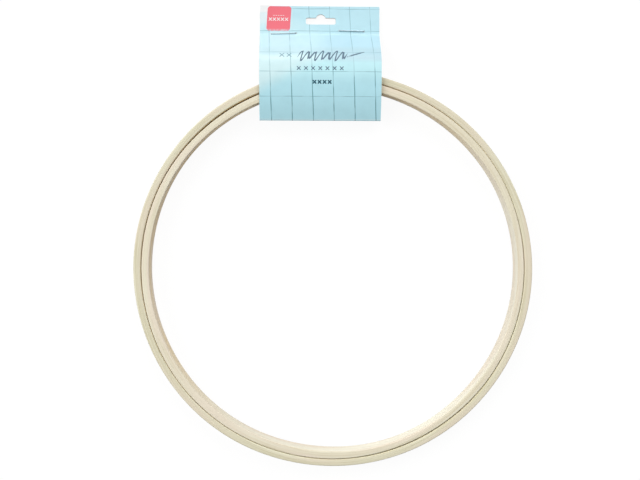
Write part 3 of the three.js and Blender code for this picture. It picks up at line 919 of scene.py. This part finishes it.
# The label with its worn foot, the sewing and the rows of cross stitches
def addMotifs(tree, place, u, v, colour):
    label, labelU, labelV = labelMask(tree, u, v)
    scuffs = span(tree, noise(tree, place, scale=0.9, detail=3.0), *motifs["scuffs"])
    worn = both(tree, label, span(tree, labelV, *motifs["scuffedFrom"]), scuffs)
    colour = mixColour(tree, calc(tree, "SUBTRACT", label, worn), colour, motifs["coral"])
    stitches = crossRow(tree, labelU, labelV, *motifs["labelCrosses"])
    dashes = dashRow(tree, labelU, labelV, *motifs["labelDashes"])
    colour = mixColour(tree, either(tree, stitches, dashes), colour, boardPrint["white"])
    colour = mixColour(tree, threadAndNeedle(tree, u, v), colour, motifs["slate"])
    for ink, *row in motifs["crosses"]:
        colour = mixColour(tree, crossRow(tree, u, v, *row), colour, motifs[ink])
    return colour


def printMaterial(name, front):
    material, tree, shader = newMaterial(name, specular=0.45)
    place, (u, v, _) = sheetPlace(tree)
    mottle = noise(tree, place, scale=0.16, detail=3.0)
    colour = printedGround(tree, place, u, v, mottle)
    if front:
        colour = addMotifs(tree, place, u, v, colour)
    fibre = noise(tree, place, scale=5.0, detail=3.0)
    frayed = calc(tree, "MULTIPLY_ADD", fibre, boardPrint["crackFray"], v)
    crack = span(tree, frayed, *boardPrint["crackInk"])
    colour = mixColour(tree, crack, colour, boardPrint["white"])
    tree.links.new(colour, shader.inputs["Base Color"])
    tree.links.new(span(tree, mottle, *boardPrint["roughnessSpan"]), shader.inputs["Roughness"])
    bump(tree, shader, fibre, boardPrint["fibre"])
    return material


board = {
    "inside": (paint(228, 226, 218), paint(207, 203, 193), 3400),  # ground, fleck, scale of the fibres
    "edge": (paint(240, 240, 236), paint(206, 208, 206), 5000),
    "fibreStretch": 0.35,
    "fleckInk": (0.5, 0.75),
    "relief": 0.015 * mm,
}


def boardMaterial(name, ground, fleck, scale):
    material, tree, shader = newMaterial(name, roughness=0.85, specular=0.2)
    stretched = vectorCalc(tree, "MULTIPLY", objectPlace(tree), (board["fibreStretch"], 1.0, 1.0))
    fibres = noise(tree, stretched, scale=scale, detail=4.0)
    colour = mixColour(tree, span(tree, fibres, *board["fleckInk"]), ground, fleck)
    tree.links.new(colour, shader.inputs["Base Color"])
    bump(tree, shader, fibres, board["relief"])
    return material


boardInside = boardMaterial("boardInside", *board["inside"])
boardEdge = boardMaterial("boardEdge", *board["edge"])
frontPrint = printMaterial("frontPrint", True)
backPrint = printMaterial("backPrint", False)

card = {
    "sheet": 0.4 * mm,
    "acrossSteps": 40,
    "alongSteps": 150,
    "sampleStep": 0.25 * mm,
    "cornerRound": (0.4 * mm, 3),  # radius and steps
    "bow": 0.12 * mm,
    "cornerLift": (0.5 * mm, 0.25 * mm),  # of the flap's left and right corner
    "flapShare": 0.2,
    "slotLength": 15.2 * mm,
    "slotHeight": 3.4 * mm,
    "slotRound": (1.0 * mm, 8),  # radius and steps
    "slotSidestep": 0.5 * mm,
    "slotBelowTop": 7.5 * mm,
    "humpRadius": 2.6 * mm,
    "humpRise": 0.9 * mm,
    "humpSteps": 48,
    "legHole": 0.8 * mm,
    "cutterHeight": 40 * mm,
}
cardLow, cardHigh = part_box("card_front")
cardMiddleX = (cardLow.x + cardHigh.x) / 2
cardWidth = cardHigh.x - cardLow.x


# The panel's outer face, read off the CAD sheet as lengths along it: [(along, y, z), ...]
def sheetProfile(node, fromAbove):
    low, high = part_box(node)
    bm = bmesh.new()
    bm.from_mesh(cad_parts[node].data)
    tree = BVHTree.FromBMesh(bm)
    bm.free()
    down = Vector((0, 0, -1 if fromAbove else 1))
    inset, beside, far = 0.002 * mm, 1 * mm, 50 * mm  # the rays' place from its ends, side and middle
    found = []
    count = int((high.y - low.y) / card["sampleStep"])
    for step in range(count + 1):
        y = low.y + inset + (high.y - low.y - 2 * inset) * step / count
        start = Vector((low.x + beside, y, ringMiddle)) - down * far
        hit, facing = tree.ray_cast(start, down)[:2]
        if hit and abs(facing.z) > 0.5:
            found.append((hit.y, hit.z))
    rows = [(0.0, *found[0])]
    for y, z in found[1:]:
        rows.append((rows[-1][0] + math.hypot(y - rows[-1][1], z - rows[-1][2]), y, z))
    return rows


# The place at a length along the sheet, between two of its rows
def onProfile(rows, along):
    for first, second in zip(rows, rows[1:]):
        if along <= second[0]:
            break
    share = (along - first[0]) / (second[0] - first[0])
    return first[1] + share * (second[1] - first[1]), first[2] + share * (second[2] - first[2])


# The printed board curls a little: its flap's corners lift, and its middle bows.
def curl(across, along, length):
    side = 2 * across - 1
    bow = card["bow"] * (1 - side * side) * math.sin(math.pi * min(1.0, along / length))
    flap = max(0.0, (along / length - 1 + card["flapShare"]) / card["flapShare"])
    left, right = card["cornerLift"]
    return bow + flap ** 2 * (left * max(0.0, -side) ** 3 + right * max(0.0, side) ** 3)


# The hang hole is a long slot with a hump at the middle of its upper side.
def hangCutter():
    slotX = cardMiddleX + card["slotSidestep"]
    slotY = cardHigh.y - card["slotBelowTop"]
    bottom, height = -10 * mm, card["cutterHeight"]
    slot = flatGrid(card["slotLength"], card["slotHeight"])
    radius, steps = card["slotRound"]
    bevelled(slot, slot.verts, radius, "VERTICES", steps)
    moved(slot, slot.verts, slotX, slotY, bottom)
    made = bmesh.ops.extrude_face_region(slot, geom=slot.faces[:])["geom"]
    moved(slot, [g for g in made if isinstance(g, bmesh.types.BMVert)], 0, 0, height)
    hump = bmesh.new()
    cylinder(hump, card["humpRadius"], height, card["humpSteps"])
    moved(hump, hump.verts, slotX, slotY + card["humpRise"], bottom + height / 2)
    return [outwards(slot), outwards(hump)]


staple = {
    "edge": 0.11 * mm,
    "colour": paint(164, 182, 190),
    "tarnish": paint(122, 138, 146),
    "tarnishInk": (0.5, 0.72, 0.0, 0.6),
    "roughness": 0.5,
    "relief": 0.004 * mm,
    "drawn": (9000, 0.06),  # scale of the drawing marks, and their stretch along the wire
    "spots": 1300,
    "pressed": 0.94,  # its height against the card, as a share
    "left": (-0.7 * mm, 2.2),  # shift up the card, and turn in degrees
    "right": (0.9 * mm, -1.2),
}


# Each staple was shot in a little off its line.
def staplePlace(end):
    low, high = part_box(f"staple_{end}")
    seat = Vector(((low.x + high.x) / 2, (low.y + high.y) / 2, low.z))
    shift, turn = staple[end]
    pressed = Matrix.Diagonal((1, 1, staple["pressed"], 1))
    shifted = Matrix.Translation(seat + Vector((0, shift, 0)))
    return shifted @ Matrix.Rotation(math.radians(turn), 4, "Z") @ pressed @ Matrix.Translation(-seat)


# The holes for the staples' legs
def legCutters():
    cutters = []
    for end in ("left", "right"):
        low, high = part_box(f"staple_{end}")
        wire = high.y - low.y
        for x in (low.x + wire / 2, high.x - wire / 2):
            bm = cuboid(card["legHole"], card["legHole"], card["cutterHeight"])
            moved(bm, bm.verts, x, (low.y + high.y) / 2, 0)
            bmesh.ops.transform(bm, verts=bm.verts, matrix=staplePlace(end))
            cutters.append(bm)
    return cutters


# The print reads the sheet's own places, laid flat.
def layPrint(bm, flatPlace):
    sheet = bm.loops.layers.uv.new("sheet")
    for face in bm.faces:
        for loop in face.loops:
            loop[sheet].uv = Vector(flatPlace(loop.vert.co)) * uvPerMetre


# The sheet gets its thickness inwards from its printed face: print, then inside, then cut edge.
def thickened(bm, slots, thickness, even):
    piece = looseObject("sheet", bm, slots)
    wall = piece.modifiers.new("wall", "SOLIDIFY")
    wall.thickness = thickness
    wall.offset = -1
    wall.use_even_offset = even
    wall.material_offset = 1
    wall.material_offset_rim = 2
    return applied(piece)


def makePanel(name, node, fromAbove, printed, body):
    rows = sheetProfile(node, fromAbove)
    length = rows[-1][0]
    bm = flatGrid(cardWidth, length, card["acrossSteps"], card["alongSteps"])
    moved(bm, bm.verts, cardWidth / 2, length / 2, 0)
    corners = [v for v in bm.verts if len(v.link_edges) == 2 and v.co.y > length / 2]
    radius, steps = card["cornerRound"]
    bevelled(bm, corners, radius, "VERTICES", steps)
    layPrint(bm, lambda place: place.xy)
    for vert in bm.verts:
        across, along = vert.co.x / cardWidth, min(max(vert.co.y, 0), length)
        y, z = onProfile(rows, along)
        lift = curl(across, along, length) if fromAbove else 0
        vert.co = (cardLow.x + across * cardWidth, y, z + lift)
    if not fromAbove:
        bmesh.ops.reverse_faces(bm, faces=bm.faces)
    slots = [printed, boardInside, boardEdge]
    bm = cutAway(thickened(bm, slots, card["sheet"], True), hangCutter() + legCutters(), slots, 2)
    finish(name, bm, slots, body, "card", node)
    return rows


frontRows = makePanel("cardFrontPanel", "card_front", True, frontPrint, "card_flap")
backRows = makePanel("cardBackPanel", "card_back", False, backPrint, "hoop")

fold = {
    "bulge": 0.09 * mm,
    "steps": 14,
    "sheetShare": 0.9,  # of the board's thickness, so that its ends stay inside the panels
    "printPlace": 0.4 * mm,  # along the sheet, for the whole fold
}


# The fold itself bends between the two panels.
def makeCrease():
    (_, frontY, frontZ), (_, backY, backZ) = frontRows[0], backRows[0]
    middle = Vector((0, max(frontY, backY) + fold["bulge"], (frontZ + backZ) / 2))
    start = Vector((0, frontY, frontZ)) - middle
    end = Vector((0, backY, backZ)) - middle
    bm = flatGrid(1, 1, card["acrossSteps"])
    bmesh.ops.delete(bm, geom=[v for v in bm.verts if v.co.y > 0], context="VERTS")
    for vert in bm.verts:
        vert.co = (cardLow.x + (vert.co.x + 0.5) * cardWidth, frontY, frontZ)
    bmesh.ops.spin(
        bm, geom=bm.verts[:] + bm.edges[:], cent=middle, axis=(1, 0, 0),
        angle=start.angle(end), steps=fold["steps"],
    )
    layPrint(bm, lambda place: (place.x - cardLow.x, fold["printPlace"]))
    bmesh.ops.recalc_face_normals(bm, faces=bm.faces)
    if sum(f.normal.y * f.calc_area() for f in bm.faces) > 0:  # the print is on the fold's outside
        bmesh.ops.reverse_faces(bm, faces=bm.faces)
    slots = [frontPrint, boardInside, boardEdge]
    bm = thickened(bm, slots, card["sheet"] * fold["sheetShare"], False)
    crease = finish("cardCrease", bm, slots, None, "card")
    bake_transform(crease)


makeCrease()
print("card folded")


def stapleMaterial():
    material, tree, shader = newMaterial("stapleWire", metallic=1.0, roughness=staple["roughness"])
    place = objectPlace(tree)
    scale, stretch = staple["drawn"]
    drawn = noise(tree, vectorCalc(tree, "MULTIPLY", place, (stretch, 1.0, 1.0)), scale=scale, detail=2.0)
    spots = noise(tree, place, scale=staple["spots"], detail=3.0)
    colour = mixColour(tree, span(tree, spots, *staple["tarnishInk"]), staple["colour"], staple["tarnish"])
    tree.links.new(colour, shader.inputs["Base Color"])
    bump(tree, shader, drawn, staple["relief"])
    return material


wire = stapleMaterial()
for end in ("left", "right"):
    finishedCopy(
        f"stapleWire.{end}", f"staple_{end}", staple["edge"], wire,
        "card_flap", "staple_wire", staplePlace(end),
    )
print("staples set")

studio = {
    "windows": (165, 70),  # two broad, soft lights, as degrees from +X
    "elevation": 37,
    "distance": 4.5,
    "size": 4.0,
    "power": 130.0,
    "sky": 0.25,
    "floorSize": 6.0,
    "floorDrop": 0.1 * mm,
    "floorBounce": 0.6,
    "floorShade": 0.09,  # how much of the light, and so of the shadow, shows on the white floor
    "floorGlow": 0.935,
}


def onlyLookedAt(tree):
    path = tree.nodes.new("ShaderNodeLightPath")
    seen = calc(tree, "MAXIMUM", path.outputs["Is Camera Ray"], path.outputs["Is Glossy Ray"])
    return calc(tree, "MAXIMUM", seen, path.outputs["Is Transmission Ray"])


def makeFloor():
    bm = flatGrid(studio["floorSize"], studio["floorSize"])
    moved(bm, bm.verts, 0, 0, cadLow.z - studio["floorDrop"])
    material = bpy.data.materials.new("paleTable")
    material.use_nodes = True
    tree = material.node_tree
    tree.nodes.clear()
    lit = tree.nodes.new("ShaderNodeBsdfDiffuse")
    lit.inputs["Color"].default_value = (*[studio["floorBounce"]] * 3, 1)
    faint = tree.nodes.new("ShaderNodeBsdfDiffuse")
    faint.inputs["Color"].default_value = (*[studio["floorShade"]] * 3, 1)
    glow = tree.nodes.new("ShaderNodeEmission")
    glow.inputs["Strength"].default_value = studio["floorGlow"]
    white = tree.nodes.new("ShaderNodeAddShader")
    tree.links.new(faint.outputs[0], white.inputs[0])
    tree.links.new(glow.outputs[0], white.inputs[1])
    choose = tree.nodes.new("ShaderNodeMixShader")
    tree.links.new(onlyLookedAt(tree), choose.inputs[0])
    tree.links.new(lit.outputs[0], choose.inputs[1])
    tree.links.new(white.outputs[0], choose.inputs[2])
    output = tree.nodes.new("ShaderNodeOutputMaterial")
    tree.links.new(choose.outputs[0], output.inputs["Surface"])
    looseObject("paleTable", bm, [material])


def makeLight():
    for degrees in studio["windows"]:
        around, up = math.radians(degrees), math.radians(studio["elevation"])
        flat = math.cos(up)
        direction = Vector((flat * math.cos(around), flat * math.sin(around), math.sin(up)))
        lamp = bpy.data.lights.new("window", "AREA")
        lamp.shape = "DISK"
        lamp.size = studio["size"]
        lamp.energy = studio["power"]
        holder = bpy.data.objects.new("window", lamp)
        holder.location = direction * studio["distance"]
        holder.rotation_euler = direction.to_track_quat("Z", "Y").to_euler()
        scene.collection.objects.link(holder)
    world = bpy.data.worlds.new("studio")
    scene.world = world
    world.use_nodes = True
    tree = world.node_tree
    sky = tree.nodes["Background"]
    sky.inputs["Color"].default_value = (1, 1, 1, 1)
    strength = span(tree, onlyLookedAt(tree), 0.0, 1.0, studio["sky"], 1.0)
    tree.links.new(strength, sky.inputs["Strength"])


makeFloor()
makeLight()
print("studio lit")
